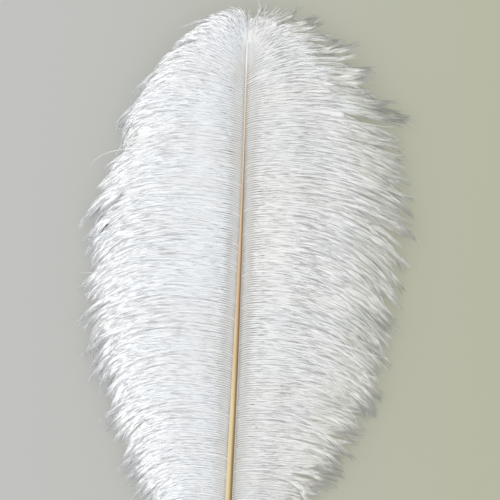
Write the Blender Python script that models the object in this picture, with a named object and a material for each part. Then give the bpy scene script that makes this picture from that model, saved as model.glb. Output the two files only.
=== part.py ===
"""A white ostrich plume, lying face up on a surface with its quill towards -Y.

The feather grew as one piece, so it is one solid: a tapering shaft, and on each side a
vane whose soft barbs hang together in locks. Each vane is one thin sheet that runs out
from the shaft, rises in a ridge along the middle of every lock, and parts between the
locks towards the edge, where each lock ends in a point. The shaft arches over the
surface and curls down at the plume's head, and the locks droop to the surface on both
sides. All sizes are in metres.
"""

import math

import bmesh
import bpy
import numpy as np
from mathutils import Matrix, Vector

# The shaft's middle line: its reach and sideways bow in plan, and its heights
SHAFT_REACH = 0.387
SHAFT_BOW = 0.0015
BOW_POWER = 1.4
BARE_QUILL = 0.060
QUILL_HEIGHT = 0.0022
CREST_HEIGHT = 0.033
CREST_AT = 0.250
TIP_HEIGHT = 0.014

# The shaft's radii, the shares of its length between which it narrows, and the length
# over which the quill's end is drawn in
QUILL_END_RADIUS = 0.0013
QUILL_RADIUS = 0.0023
SHAFT_TIP_RADIUS = 0.0005
NARROWS_FROM = 0.28
NARROWS_TO = 0.92
QUILL_TAPER = 0.012
SHAFT_RINGS = 44
SHAFT_ROUNDNESS = 2

# Lengths of the barbs in plan: at the vane's base, at the longest and at the tip
LEFT, RIGHT = -1, 1
BASE_BARB = {LEFT: 0.018, RIGHT: 0.016}
LONGEST_BARB = {LEFT: 0.099, RIGHT: 0.107}
TIP_BARB = 0.010
LONGEST_AT = {LEFT: 0.58, RIGHT: 0.615}
BASE_FULLNESS = {LEFT: 1.70, RIGHT: 1.60}
HEAD_FULLNESS = {LEFT: 3.17, RIGHT: 3.37}

# Headings of the barbs in plan, in radians above straight out, positive towards the tip
ROOT_HEADING = 0.70
ROOT_SHARE = 0.045
OUTWARD_HEADING = 0.11
END_HEADING = {LEFT: -1.065, RIGHT: -0.30}
RIGHT_DROOP = 0.725
RIGHT_DROOP_AT = 0.55
RIGHT_DROOP_SPREAD = 0.19
BASE_DROOP = 0.55
BASE_DROOP_UP_TO = 0.20
BEND_POWER = {LEFT: 2.5, RIGHT: 1.4}
HEAD_FROM = 0.74
HEAD_POWER = 2.8
HEAD_END_POWER = 12

# Heights along a barb, and where in the shaft's section it starts
SHOULDER = 0.10
DROOP_POWER = 2.3
EDGE_HEIGHT = 0.0009
ROOT_INSET = 0.35

# The locks
LOCKS = 34
BORDER_VARIES = 0.22
SHAFT_WEIGHT = 0.5
LOCK_RIDGE = 0.0024
RIDGE_POWER = 0.6
SHEET_THICKNESS = 0.0009
PARTING = 0.66
PARTING_VARIES = 0.10
LENGTH_VARIES = 0.035
SWAY = 0.05
POINT_POWER = 1.5
EDGE_SHARE = 0.8
INNER_ROWS = (0.0, 0.08, 0.24, 0.45, 0.66, 0.85, 1.0)
OUTER_ROWS = (0.0, 0.35, 0.70)

PLUME_WHITE = (0.86, 0.87, 0.88, 1.0)
PLUME_ROUGHNESS = 0.85
SHAFT_AMBER = (0.62, 0.40, 0.17, 1.0)
SHAFT_ROUGHNESS = 0.35
SMOOTH_UP_TO = math.radians(35)

TABLE_POINTS = 2000
FINE_STEPS = 241
BORDER_SAMPLES = 201
WELD = 1e-6

# The factors of the sine that makes one lock differ from the next
NUMBER_FACTOR = 12.9898
KIND_FACTOR = 78.233
SPREAD_FACTOR = 43758.5453


def varied(number, kind):
    """A repeatable value from -1 to 1 that differs from lock to lock."""
    whole = math.sin(NUMBER_FACTOR * number + KIND_FACTOR * kind) * SPREAD_FACTOR
    return 2 * (whole - math.floor(whole)) - 1


def shaft_height(y):
    """Rises as a quarter sine from the quill to the crest, then falls away to the tip."""
    rise = np.sin(np.pi / 2 * np.clip(y / CREST_AT, 0, 1))
    past = np.clip((y - CREST_AT) / (SHAFT_REACH - CREST_AT), 0, 1)
    before = QUILL_HEIGHT + (CREST_HEIGHT - QUILL_HEIGHT) * rise
    after = TIP_HEIGHT + (CREST_HEIGHT - TIP_HEIGHT) * np.sqrt(1 - past**3)
    return np.where(y < CREST_AT, before, after)


def shaft_table():
    """Points close together along the shaft's middle line, and the length up to each."""
    y = SHAFT_REACH * np.sin(np.linspace(0, np.pi / 2, TABLE_POINTS))
    x = SHAFT_BOW * np.sin(np.pi * (y / SHAFT_REACH) ** BOW_POWER)
    points = np.stack([x, y, shaft_height(y)], axis=1)
    steps = np.linalg.norm(np.diff(points, axis=0), axis=1)
    return points, np.concatenate([[0], np.cumsum(steps)])


SHAFT_POINTS, SHAFT_ALONG = shaft_table()
SHAFT_LENGTH = float(SHAFT_ALONG[-1])


def shaft_at(along):
    """The point of the shaft's middle line at a length along it."""
    return np.array([np.interp(along, SHAFT_ALONG, SHAFT_POINTS[:, k]) for k in range(3)])


def shaft_radius(along):
    """The shaft narrows in one smooth step, and the quill's end is drawn in."""
    share = (along / SHAFT_LENGTH - NARROWS_FROM) / (NARROWS_TO - NARROWS_FROM)
    share = min(max(share, 0), 1)
    body = QUILL_RADIUS - (QUILL_RADIUS - SHAFT_TIP_RADIUS) * share**2 * (3 - 2 * share)
    short = 1 - min(along / QUILL_TAPER, 1)
    return body - (QUILL_RADIUS - QUILL_END_RADIUS) * short**2


def barb_length(side, u):
    """Length in plan of a barb at u, from 0 at the vane's base to 1 at the tip."""
    top = LONGEST_AT[side]
    longest = LONGEST_BARB[side]
    if u < top:
        below = ((top - u) / top) ** BASE_FULLNESS[side]
        return longest - (longest - BASE_BARB[side]) * below
    above = ((u - top) / (1 - top)) ** HEAD_FULLNESS[side]
    return longest - (longest - TIP_BARB) * above


def end_heading(side, u):
    """The heading at a barb's point. The right side hangs lower about the middle."""
    end = END_HEADING[side] - BASE_DROOP * max(0.0, 1 - u / BASE_DROOP_UP_TO) ** 2
    if side == RIGHT:
        end -= RIGHT_DROOP * math.exp(-(((u - RIGHT_DROOP_AT) / RIGHT_DROOP_SPREAD) ** 2))
    return end


def barb_points(side, u, shares, reach=1.0, sway=0.0):
    """Points at shares of the length of the barb that leaves the shaft at u.

    The barb leaves the shaft steeply towards the tip, turns outwards within a few
    millimetres and then bends down towards the quill. Its place in plan is the sum of
    its steps along that heading, and its height falls from the shaft's to the surface.
    """
    shares = np.asarray(shares, float)
    along = BARE_QUILL + u * (SHAFT_LENGTH - BARE_QUILL)
    start = shaft_at(along)
    length = barb_length(side, u) * reach
    head = max(0.0, (u - HEAD_FROM) / (1 - HEAD_FROM))
    out = OUTWARD_HEADING + (math.pi / 2 - OUTWARD_HEADING) * head**HEAD_POWER
    end = end_heading(side, u)
    end += (math.pi / 2 - end) * head**HEAD_END_POWER
    fine = np.linspace(0, 1, FINE_STEPS)
    root = ROOT_HEADING * (1 - head) * np.exp(-fine / ROOT_SHARE)
    bend = (end - out) * fine ** BEND_POWER[side] + sway * (1 - head) * fine**2
    heading = out + root + bend
    step = length / (FINE_STEPS - 1)
    x = start[0] + side * (ROOT_INSET * shaft_radius(along) + step * np.cumsum(np.cos(heading)))
    y = start[1] + step * np.cumsum(np.sin(heading))
    lift = SHOULDER * length * shares * (1 - shares)
    fall = (start[2] - EDGE_HEIGHT) * shares**DROOP_POWER
    return np.stack(
        [np.interp(shares, fine, x), np.interp(shares, fine, y), start[2] + lift - fall], axis=1
    )


def lock_borders(side):
    """Where the locks meet along the shaft, so that they share root and edge evenly."""
    u = np.linspace(0, 1, BORDER_SAMPLES)
    edge = np.array([barb_points(side, v, [EDGE_SHARE])[0] for v in u])
    spans = np.linalg.norm(np.diff(edge, axis=0), axis=1) + SHAFT_WEIGHT * SHAFT_LENGTH / len(u)
    along = np.concatenate([[0], np.cumsum(spans)])
    places = np.array([i + BORDER_VARIES * varied(i, side) for i in range(LOCKS + 1)])
    places[0], places[-1] = 0, LOCKS
    return np.interp(places / LOCKS * along[-1], along, u)


def ridge(shares):
    """How high a lock's middle stands over its sides: nothing at the shaft and point."""
    return LOCK_RIDGE * np.sin(np.pi * np.asarray(shares) ** RIDGE_POWER)


class Lock:
    """One lock between two borders: its length, its sway and where it parts."""

    def __init__(self, side, number, low, high):
        self.side = side
        self.middle = (low + high) / 2
        self.reach = 1 + LENGTH_VARIES * varied(number, 3 * side)
        self.sway = SWAY * varied(number, 5 * side)

    def outer_line(self, border, parting, raised):
        """The line from a parting to just before the lock's point."""
        rows = np.array(OUTER_ROWS[1:])
        found = []
        for row in rows:
            u = border + (self.middle - border) * row**POINT_POWER
            share = parting + (1 - parting) * row
            reach = 1 + (self.reach - 1) * row
            point = barb_points(self.side, u, [share], reach, self.sway * row)[0]
            point[2] += raised * ridge(share)
            found.append(point)
        return found

    def point(self):
        """Where the lock ends."""
        return barb_points(self.side, self.middle, [1.0], self.reach, self.sway)[0]


def vane_mesh(name, side):
    """One vane as a sheet without thickness: columns of vertices joined by faces."""
    borders = lock_borders(side)
    partings = [PARTING + PARTING_VARIES * varied(i, 7 * side) for i in range(LOCKS + 1)]
    sheet = bmesh.new()

    def column(points):
        return [sheet.verts.new(p) for p in points]

    def join(first, second):
        for a, b, c, d in zip(first[:-1], second[:-1], second[1:], first[1:], strict=True):
            sheet.faces.new([a, b, c, d] if c is not d else [a, b, c])

    border_columns = [
        column(barb_points(side, u, np.array(INNER_ROWS) * part))
        for u, part in zip(borders, partings, strict=True)
    ]
    for i in range(LOCKS):
        lock = Lock(side, i, borders[i], borders[i + 1])
        parting = (partings[i] + partings[i + 1]) / 2
        shares = np.array(INNER_ROWS) * parting
        inner = barb_points(side, lock.middle, shares)
        inner[:, 2] += ridge(shares)
        crest = column(inner)
        join(border_columns[i], crest)
        join(crest, border_columns[i + 1])

        tip = sheet.verts.new(lock.point())
        low, middle, high = (
            [start] + column(lock.outer_line(border, part, raised)) + [tip]
            for start, border, part, raised in (
                (border_columns[i][-1], borders[i], partings[i], 0),
                (crest[-1], lock.middle, parting, 1),
                (border_columns[i + 1][-1], borders[i + 1], partings[i + 1], 0),
            )
        )
        join(low, middle)
        join(middle, high)
    bmesh.ops.recalc_face_normals(sheet, faces=sheet.faces)
    mesh = bpy.data.meshes.new(name)
    sheet.to_mesh(mesh)
    sheet.free()
    return mesh


def material(name, colour, roughness):
    made = bpy.data.materials.new(name)
    made.use_nodes = True
    shader = made.node_tree.nodes["Principled BSDF"]
    shader.inputs["Base Color"].default_value = colour
    shader.inputs["Roughness"].default_value = roughness
    shader.inputs["Metallic"].default_value = 0.0
    return made


def add_object(name, mesh, finish):
    made = bpy.data.objects.new(name, mesh)
    bpy.context.scene.collection.objects.link(made)
    made.data.materials.append(finish)
    return made


def make_vane(name, side, finish):
    """One vane with its thickness. It is a guide that the feather's union takes in."""
    vane = add_object(name, vane_mesh(name, side), finish)
    thick = vane.modifiers.new("thickness", "SOLIDIFY")
    thick.thickness = SHEET_THICKNESS
    thick.offset = 0
    vane.hide_render = True
    vane.display_type = "WIRE"
    return vane


def make_shaft(finish):
    """The shaft as a tube of changing radius along its middle line, with closed ends."""
    curve = bpy.data.curves.new("shaft_line", "CURVE")
    curve.dimensions = "3D"
    curve.bevel_depth = 1.0
    curve.bevel_resolution = SHAFT_ROUNDNESS
    curve.use_fill_caps = True
    line = curve.splines.new("POLY")
    line.points.add(SHAFT_RINGS - 1)
    share = np.linspace(0, 1, SHAFT_RINGS)
    for point, along in zip(line.points, SHAFT_LENGTH * share, strict=True):
        point.co = (*shaft_at(along), 1)
        point.radius = shaft_radius(along)
    guide = bpy.data.objects.new("shaft_line", curve)
    mesh = bpy.data.meshes.new_from_object(guide)
    bpy.data.objects.remove(guide)
    welded = bmesh.new()
    welded.from_mesh(mesh)
    bmesh.ops.remove_doubles(welded, verts=welded.verts, dist=WELD)
    bmesh.ops.recalc_face_normals(welded, faces=welded.faces)
    welded.to_mesh(mesh)
    welded.free()
    mesh.shade_smooth()
    mesh.set_sharp_from_angle(angle=SMOOTH_UP_TO)
    mesh.materials.clear()
    return add_object("feather", mesh, finish)


def centre_on_surface(pieces):
    """Moves the pieces together so that the origin is under the middle of them all."""
    bpy.context.view_layer.update()
    graph = bpy.context.evaluated_depsgraph_get()
    seen = [piece.evaluated_get(graph).to_mesh() for piece in pieces]
    points = np.array([v.co for mesh in seen for v in mesh.vertices])
    low, high = points.min(axis=0), points.max(axis=0)
    shift = Vector((-(low[0] + high[0]) / 2, -(low[1] + high[1]) / 2, -low[2]))
    for piece in pieces:
        piece.data.transform(Matrix.Translation(shift))


def main():
    for old in list(bpy.data.objects):
        bpy.data.objects.remove(old)
    white = material("plume_white", PLUME_WHITE, PLUME_ROUGHNESS)
    amber = material("shaft_amber", SHAFT_AMBER, SHAFT_ROUGHNESS)
    feather = make_shaft(amber)
    vanes = [make_vane("left_vane", LEFT, white), make_vane("right_vane", RIGHT, white)]
    centre_on_surface([feather, *vanes])
    for vane in vanes:
        union = feather.modifiers.new("with_" + vane.name, "BOOLEAN")
        union.operation = "UNION"
        union.use_self = True
        union.object = vane
        union.material_mode = "TRANSFER"


main()
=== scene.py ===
"""A white ostrich plume, laid face up, as its shaft and nearly eight hundred soft barbs.

The feather's solid gives the place and the reach of everything here. The shaft is one
turned and tapered form. The barbs are worked out side by side as whole arrays: each is a
curve that leaves the shaft, turns outwards and droops, gathers with its neighbours into
strands and locks, and carries fine barbules along its length. A thin web of down closes
the gaps below them, and a few stray hairs lie over them. All sizes are in metres.
"""

import math

import bpy
import numpy as np
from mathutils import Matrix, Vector

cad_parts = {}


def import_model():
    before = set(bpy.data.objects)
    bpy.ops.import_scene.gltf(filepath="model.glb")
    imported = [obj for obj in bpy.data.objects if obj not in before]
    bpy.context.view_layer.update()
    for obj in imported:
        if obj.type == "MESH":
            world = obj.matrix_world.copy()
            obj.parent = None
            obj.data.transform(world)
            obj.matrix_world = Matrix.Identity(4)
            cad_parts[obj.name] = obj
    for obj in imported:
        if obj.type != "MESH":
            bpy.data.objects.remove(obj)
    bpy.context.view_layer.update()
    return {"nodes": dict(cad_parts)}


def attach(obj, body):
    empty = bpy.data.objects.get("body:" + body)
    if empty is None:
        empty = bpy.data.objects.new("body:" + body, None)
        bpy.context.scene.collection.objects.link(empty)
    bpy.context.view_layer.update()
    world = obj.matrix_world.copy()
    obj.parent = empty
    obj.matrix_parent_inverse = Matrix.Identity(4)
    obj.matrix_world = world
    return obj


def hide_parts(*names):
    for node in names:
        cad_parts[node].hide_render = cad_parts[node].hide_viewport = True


SEED = 23
LEFT, RIGHT = -1, 1

# The shaft's middle line and radii, as in the feather's solid
SHAFT_REACH = 0.387
SHAFT_BOW = 0.0015
BOW_POWER = 1.4
BARE_QUILL = 0.060
QUILL_HEIGHT = 0.0022
CREST_HEIGHT = 0.033
CREST_AT = 0.250
TIP_HEIGHT = 0.014
QUILL_END_RADIUS = 0.0013
QUILL_END_DEPTH = 0.002
QUILL_RADIUS = 0.0023
SHAFT_TIP_RADIUS = 0.0005
NARROWS_FROM = 0.28
NARROWS_TO = 0.92
QUILL_TAPER = 0.012
LINE_POINTS = 2000

# The turned shaft: its rings, its two points and the shallow groove along its top
SHAFT_RINGS = 260
SHAFT_SIDES = 24
QUILL_POINT = 0.0006
TIP_POINT = 0.0008
GROOVE_DEPTH = 0.10
GROOVE_AT = 0.12
GROOVE_WIDTH = 0.30

# The barbs' lengths, headings and heights, as in the feather's solid
BASE_BARB = {LEFT: 0.018, RIGHT: 0.016}
LONGEST_BARB = {LEFT: 0.099, RIGHT: 0.107}
TIP_BARB = 0.010
LONGEST_AT = {LEFT: 0.58, RIGHT: 0.615}
BASE_FULLNESS = {LEFT: 1.70, RIGHT: 1.60}
HEAD_FULLNESS = {LEFT: 3.17, RIGHT: 3.37}
ROOT_HEADING = 0.70
ROOT_SHARE = 0.045
OUTWARD_HEADING = 0.11
END_HEADING = {LEFT: -1.065, RIGHT: -0.30}
RIGHT_DROOP = 0.725
RIGHT_DROOP_AT = 0.55
RIGHT_DROOP_SPREAD = 0.19
BASE_DROOP = 0.55
BASE_DROOP_UP_TO = 0.20
BEND_POWER = {LEFT: 2.5, RIGHT: 1.4}
HEAD_FROM = 0.74
HEAD_POWER = 2.8
HEAD_END_POWER = 12
SHOULDER = 0.10
DROOP_POWER = 2.3
EDGE_HEIGHT = 0.0009
ROOT_INSET = 0.80

# The locks, as in the feather's solid
LOCKS = 34
LENGTH_VARIES = 0.035
SWAY = 0.05
EDGE_SHARE = 0.8
BORDER_VARIES = 0.22
BORDER_POINTS = 201
NUMBER_FACTOR = 12.9898
KIND_FACTOR = 78.233
SPREAD_FACTOR = 43758.5453

# The barbs that show: their pitch, their thickness and how they gather
BARB_PITCH = 0.00138
STEPS = 160
RAMUS_ROWS = 26
RAMUS_ROW_POWER = 1.5
RAMUS_RADIUS = 0.00018
RAMUS_TAPER_POWER = 0.5
ROOT_THICKENING = 0.5
ROOT_THICKENING_POWER = 8
ROOT_RISE = 0.15
STRAND_BARBS = (2, 5)
STRAND_PULL = 0.22
STRAND_PULL_FROM = 0.2
LOCK_PULL = 0.06
LOCK_PULL_FROM = 0.5
TIP_CLEARANCE = (0.0054, 0.0070)
HEAD_CLEARANCE = 0.008
HEAD_ZONE = (0.80, 0.95)
HEAD_LEAN = 0.34
HEAD_LEAN_FROM = 0.965
HEAD_SHORTER = {LEFT: -0.02, RIGHT: 0.10}
CROWN_BARBS = 14
CROWN_FROM = 0.97
REACH_IN_STRAND = (0.86, 1.02)
REACH_OF_STRAND = (0.94, 1.04)
STRAND_LEAN = 0.022
BARB_LEAN = 0.035
WAVE_WEIGHTS = (0.65, 0.35)
STRAND_WAVE = (0.00035, 0.00014)
STRAND_WAVE_POWER = (0.8, 0.4)
STRAND_WAVELENGTH = (0.055, 0.120)
BARB_WAVE = (0.00016, 0.00008)
BARB_WAVE_POWER = (0.7, 0.5)
BARB_WAVELENGTH = (0.030, 0.070)

# The lower barbs, which lie under the others and close the gaps between them
UNDER_PITCH = 0.0026
UNDER_DEPTH = (0.0008, 0.0014)
UNDER_ROOT_DEPTH = 0.0010
UNDER_ROOT_ZONE = 0.16
UNDER_EASE = 0.6
UNDER_TOP = 0.85
UNDER_REACH = (0.80, 1.00)
UNDER_LEAN = 0.07

# The web of down under the barbs: its depth at the shaft and further out, how much deeper
# its edge lies, and its teeth. At the shaft's tip the two sides' webs overlap, a step apart
WEB_DEPTH = (0.0013, 0.00045)
WEB_ROOT_ZONE = 0.12
WEB_EDGE_DEPTH = 0.0021
WEB_EDGE_POWER = 4
WEB_THICKNESS = 0.00016
WEB_TEETH = 150
WEB_TOOTH = (0.2, 1.0)
WEB_ROWS = 20
WEB_REACH = {LEFT: (0.74, 0.86), RIGHT: (0.64, 0.78)}
WEB_HEAD_SHORTER = 0.14
WEB_OVERLAP = 0.0015
WEB_STEP = 0.00025
WEB_OVERLAP_FROM = 0.92
# The web's tone share is raised at the head, to keep the painted shade of its root off the head
WEB_HEAD_TONE = 0.4
WEB_HEAD_TONE_ZONE = (0.90, 0.97)

# Strays: single bare barbs that cross the others and stand out at the edge
STRAYS = 36
STRAY_PLACES = (0.06, 0.90)
STRAY_REACH = (0.94, 1.07)
STRAY_LEAN = 0.22
STRAY_CURL = 0.7
STRAY_LIFT = (0.0010, 0.0024)
STRAY_LIFT_ZONE = (0.10, 0.45)
STRAY_ROOT_DEPTH = 0.0010
STRAY_ROOT_ZONE = 0.14
STRAY_WAVE = 2 * BARB_WAVE[0]
STRAY_WAVELENGTH = (0.025, 0.050)
STRAY_THICKNESS = 1.45

# Loose barbs, which lie over the others, and the curls at the head
LOOSE_SHARE = 0.13
LOOSE_LIFT = 0.0006
LOOSE_LIFT_ZONE = (0.06, 0.35)
LOOSE_LEAN = 0.13
LOOSE_FREEDOM = 0.7
LOOSE_CURL = 0.45
BARB_CURL = 0.15
CURL = 0.20
HEAD_CURL = 0.8
HEAD_CURL_ZONE = (0.78, 0.95)
HEAD_CURL_RANGE = (0.2, 1.2)
CURL_FROM = 0.72
CURL_AT_MOST = {LEFT: 0.15, RIGHT: 2.0}

# How many triangles the barbs and barbules may have, and what one ring and one sliver take
TRIANGLES_IN_ALL = 900000
RING_TRIANGLES = 6
SLIVER_TRIANGLES = 4

# The barbules' places and sizes. Towards the barb's point they are thinner, shorter and
# more fanned. A pair named VARIES is a least share and how much chance adds to it
BARE_ROOT = 0.0035
BARE_ROOT_LIMIT = 0.08
LAST_PLACE = 0.995
THINNING = 0.40
BARBULE = 0.0240
BARBULE_VARIES = (0.6, 0.8)
BARBULE_LIMIT = 0.25
BARBULE_LIMIT_VARIES = (0.7, 0.6)
BARBULE_AT_ROOT = 0.30
BARBULE_FULL_AT = 0.014
FULL_AT_LIMIT = 0.25
POINT_POWER = 4
POINT_SHORTENING = 0.72
POINT_FANNING = 1.2
POINT_NARROWING = 0.35

# The barbules' form: width, spread from the barb, turn about it, and roll of their faces
BARBULE_WIDTH = 0.00020
BARBULE_WIDTH_VARIES = (0.7, 0.6)
BARBULE_ARCH = 0.00005
BARBULE_SPREAD = 0.038
BARBULE_SPREAD_VARIES = (0.5, 1.0)
HALF_WAY_SPREAD = 0.62
BARBULE_FLATNESS = 0.55
BARBULE_TURN = 2.2
TURN_STEP = 0.618034
TURN_VARIES = 0.12
BARBULE_ROLL = 0.06
ROLL_VARIES = 0.14
ROOT_INSIDE = 0.3
ROOT_ZONE = 0.009
ROOT_SINK = 0.0005
SINK_FULL_AT = 0.0003

# The wide barbules, which stand out sideways and lie a little lower
WIDE_SHARE = 0.18
WIDE_SIZE = 0.6
WIDE_SPREAD = 0.0021
WIDE_SPREAD_VARIES = (0.35, 0.65)
WIDE_SPREAD_AT_ROOT = 0.5
WIDE_TURN_VARIES = 0.5
WIDE_SINK = 0.0006
WIDE_SINK_VARIES = (0.3, 0.7)

# The height under which points are eased down to stay over the floor
FLOOR_SOFTNESS = 0.0008

# The plume's tones at a barb's root, middle and point, the tint of its soft patches and
# its share, and the streaks' share. The tones hold painted light and shade: the left side
# is painted as the side in light, greyer in the middle and lighter at the point, and the
# right side as the side in shade, its points grey-green as painted shade. A painted glow,
# a share of the barb's own tone, stands in for light that passes into the barb
PLUME_TONES_AND_PAINTED_LIGHT = {
    LEFT: ((0.93, 0.925, 0.91), (0.86, 0.87, 0.88), (0.93, 0.935, 0.94)),
    RIGHT: ((0.94, 0.93, 0.91), (0.88, 0.88, 0.88), (0.64, 0.65, 0.595)),
}
PLUME_TINT = {LEFT: (0.90, 0.93, 0.965), RIGHT: (0.93, 0.905, 0.875)}
PLUME_TINT_SHARE = 0.5
SOFT_TINT_SHARE = 0.3
PLUME_STREAKS = {LEFT: 0.10, RIGHT: 0.12}
PLUME_FINENESS = 240.0
# The web's tones: painted shade, a deep tan at the root where the gaps by the shaft lie in shade,
# and greyer at the outer end where the strands shade it
DOWN_TONES_AND_PAINTED_SHADE = ((0.52, 0.49, 0.43), (0.83, 0.83, 0.825), (0.66, 0.66, 0.64))
DOWN_TINT = (0.78, 0.78, 0.76)
DOWN_STREAKS = 0.75
DOWN_FINENESS = 420.0
# The strays' tones: whiter than the barbs as a painted highlight, so that they stand out as if in
# light over the mat; darker at the root
HAIR_PAINTED_LIT_TONES = ((0.80, 0.78, 0.74), (0.99, 0.99, 0.99), (0.98, 0.98, 0.98))
HAIR_TINT = (0.97, 0.98, 1.0)
HAIR_STREAKS = 0.02
STREAK_TONE = (0.70, 0.71, 0.73, 1)
PAINTED_GLOW = 0.15
TONE_SOFTNESS = 0.12

# How much the streaks add to the least roughness, and that roughness
PLUME_ROUGHNESS = (0.25, 0.50)
SHAFT_ROUGHNESS = (0.20, 0.30)

# The shaft's tones, with painted light and shade across it: its bright left half and shaded
# right half, its pale edges of painted highlight, and its quill, grain and tip
SHAFT_PAINTED_LIGHT = ((0.70, 0.56, 0.28), (0.60, 0.385, 0.20), (0.84, 0.78, 0.66))
SHAFT_PAINTED_SHADE = ((0.20, 0.12, 0.036), (0.21, 0.095, 0.032), (0.60, 0.50, 0.38))
PAINTED_RIM_HIGHLIGHT = (0.74, 0.68, 0.56, 1)
QUILL_TONE = (0.80, 0.74, 0.58, 1)
GRAIN_TONE = (0.36, 0.20, 0.08, 1)
GRAIN_SHARE = 0.12
PAINTED_SHADE_WANDER = 0.10
TIP_TONE = (0.88, 0.87, 0.84, 1)
BLACK = (0, 0, 0, 1)

# The floor: its tones at left and right, the part of its brightness that is its own, and
# the part that it takes from the lights
FLOOR_LEFT = (0.527, 0.533, 0.515)
FLOOR_RIGHT = (0.474, 0.479, 0.366)
FLOOR_TURNS_AT = 0.16
FLOOR_GLOW = 0.62
FLOOR_SHARE = 0.32
FLOOR_HALF = 3.0

# The camera looks straight down, turned so that the shaft leans as it grew
VIEW_ROLL = math.radians(2.4)
VIEW_CENTRE = (0.00703, 0.2562)
VIEW_WIDTH = 0.300
VIEW_HEIGHT = 0.025
CAMERA_DISTANCE = 1.8
SENSOR_WIDTH = 36.0

rng = np.random.default_rng(SEED)


def smooth(low, high, x):
    """0 below low, 1 above high, and a smooth step between: 3 s squared less 2 s cubed."""
    s = np.clip((x - low) / (high - low), 0, 1)
    return s * s * (3 - 2 * s)


def unit(vectors):
    """The vectors divided by their own lengths."""
    return vectors / np.maximum(np.linalg.norm(vectors, axis=-1, keepdims=True), 1e-12)


def varied(number, kind):
    """The fractional part of a large sine, from -1 to 1, as in the feather's solid."""
    whole = np.sin(NUMBER_FACTOR * number + KIND_FACTOR * kind) * SPREAD_FACTOR
    return 2 * (whole - np.floor(whole)) - 1


def varies(pair, chance):
    """A least value plus a range times a chance from 0 to 1."""
    return pair[0] + pair[1] * chance


def shares_along():
    """Even shares of a barb's length, from 0 to 1, as one row."""
    return np.linspace(0, 1, STEPS + 1)[None, :]


# The shaft


def shaft_line():
    """Points of the shaft's middle line and their lengths along it.

    y is the reach times the sine of even angles, x is a bow of half a sine of y's share to
    a power, and z rises as a quarter sine to the crest and then falls as the root of one
    less the cube.
    """
    y = SHAFT_REACH * np.sin(np.linspace(0, np.pi / 2, LINE_POINTS))
    x = SHAFT_BOW * np.sin(np.pi * (y / SHAFT_REACH) ** BOW_POWER)
    rise = np.sin(np.pi / 2 * np.clip(y / CREST_AT, 0, 1))
    past = np.clip((y - CREST_AT) / (SHAFT_REACH - CREST_AT), 0, 1)
    before = QUILL_HEIGHT + (CREST_HEIGHT - QUILL_HEIGHT) * rise
    after = TIP_HEIGHT + (CREST_HEIGHT - TIP_HEIGHT) * np.sqrt(1 - past**3)
    points = np.stack([x, y, np.where(y < CREST_AT, before, after)], axis=1)
    steps = np.linalg.norm(np.diff(points, axis=0), axis=1)
    return points, np.concatenate([[0], np.cumsum(steps)])


LINE, ALONG = shaft_line()
SHAFT_LENGTH = float(ALONG[-1])
VANE_LENGTH = SHAFT_LENGTH - BARE_QUILL


def shaft_at(along):
    """Points of the middle line at lengths along it, read off between its own points."""
    return np.stack([np.interp(along, ALONG, LINE[:, k]) for k in range(3)], axis=-1)


def shaft_radius(along):
    """Narrows in one smooth step of the length; the quill's end is drawn in by a square."""
    step = smooth(NARROWS_FROM, NARROWS_TO, along / SHAFT_LENGTH)
    body = QUILL_RADIUS - (QUILL_RADIUS - SHAFT_TIP_RADIUS) * step
    short = 1 - np.clip(along / QUILL_TAPER, 0, 1)
    return body - (QUILL_RADIUS - QUILL_END_RADIUS) * short**2


# The barbs' own lines


def barb_length(side, u):
    """Length in plan of the barbs at u, from 0 at the vane's base to 1 at the tip."""
    top = LONGEST_AT[side]
    longest = LONGEST_BARB[side]
    below = ((top - np.minimum(u, top)) / top) ** BASE_FULLNESS[side]
    above = ((np.maximum(u, top) - top) / (1 - top)) ** HEAD_FULLNESS[side]
    low = longest - (longest - BASE_BARB[side]) * below
    high = longest - (longest - TIP_BARB) * above
    return np.where(u < top, low, high)


def end_heading(side, u):
    """The heading at a barb's point: a constant, less the base's and the right's droop."""
    end = END_HEADING[side] - BASE_DROOP * np.maximum(0, 1 - u / BASE_DROOP_UP_TO) ** 2
    if side == RIGHT:
        end = end - RIGHT_DROOP * np.exp(-(((u - RIGHT_DROOP_AT) / RIGHT_DROOP_SPREAD) ** 2))
    return end


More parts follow.
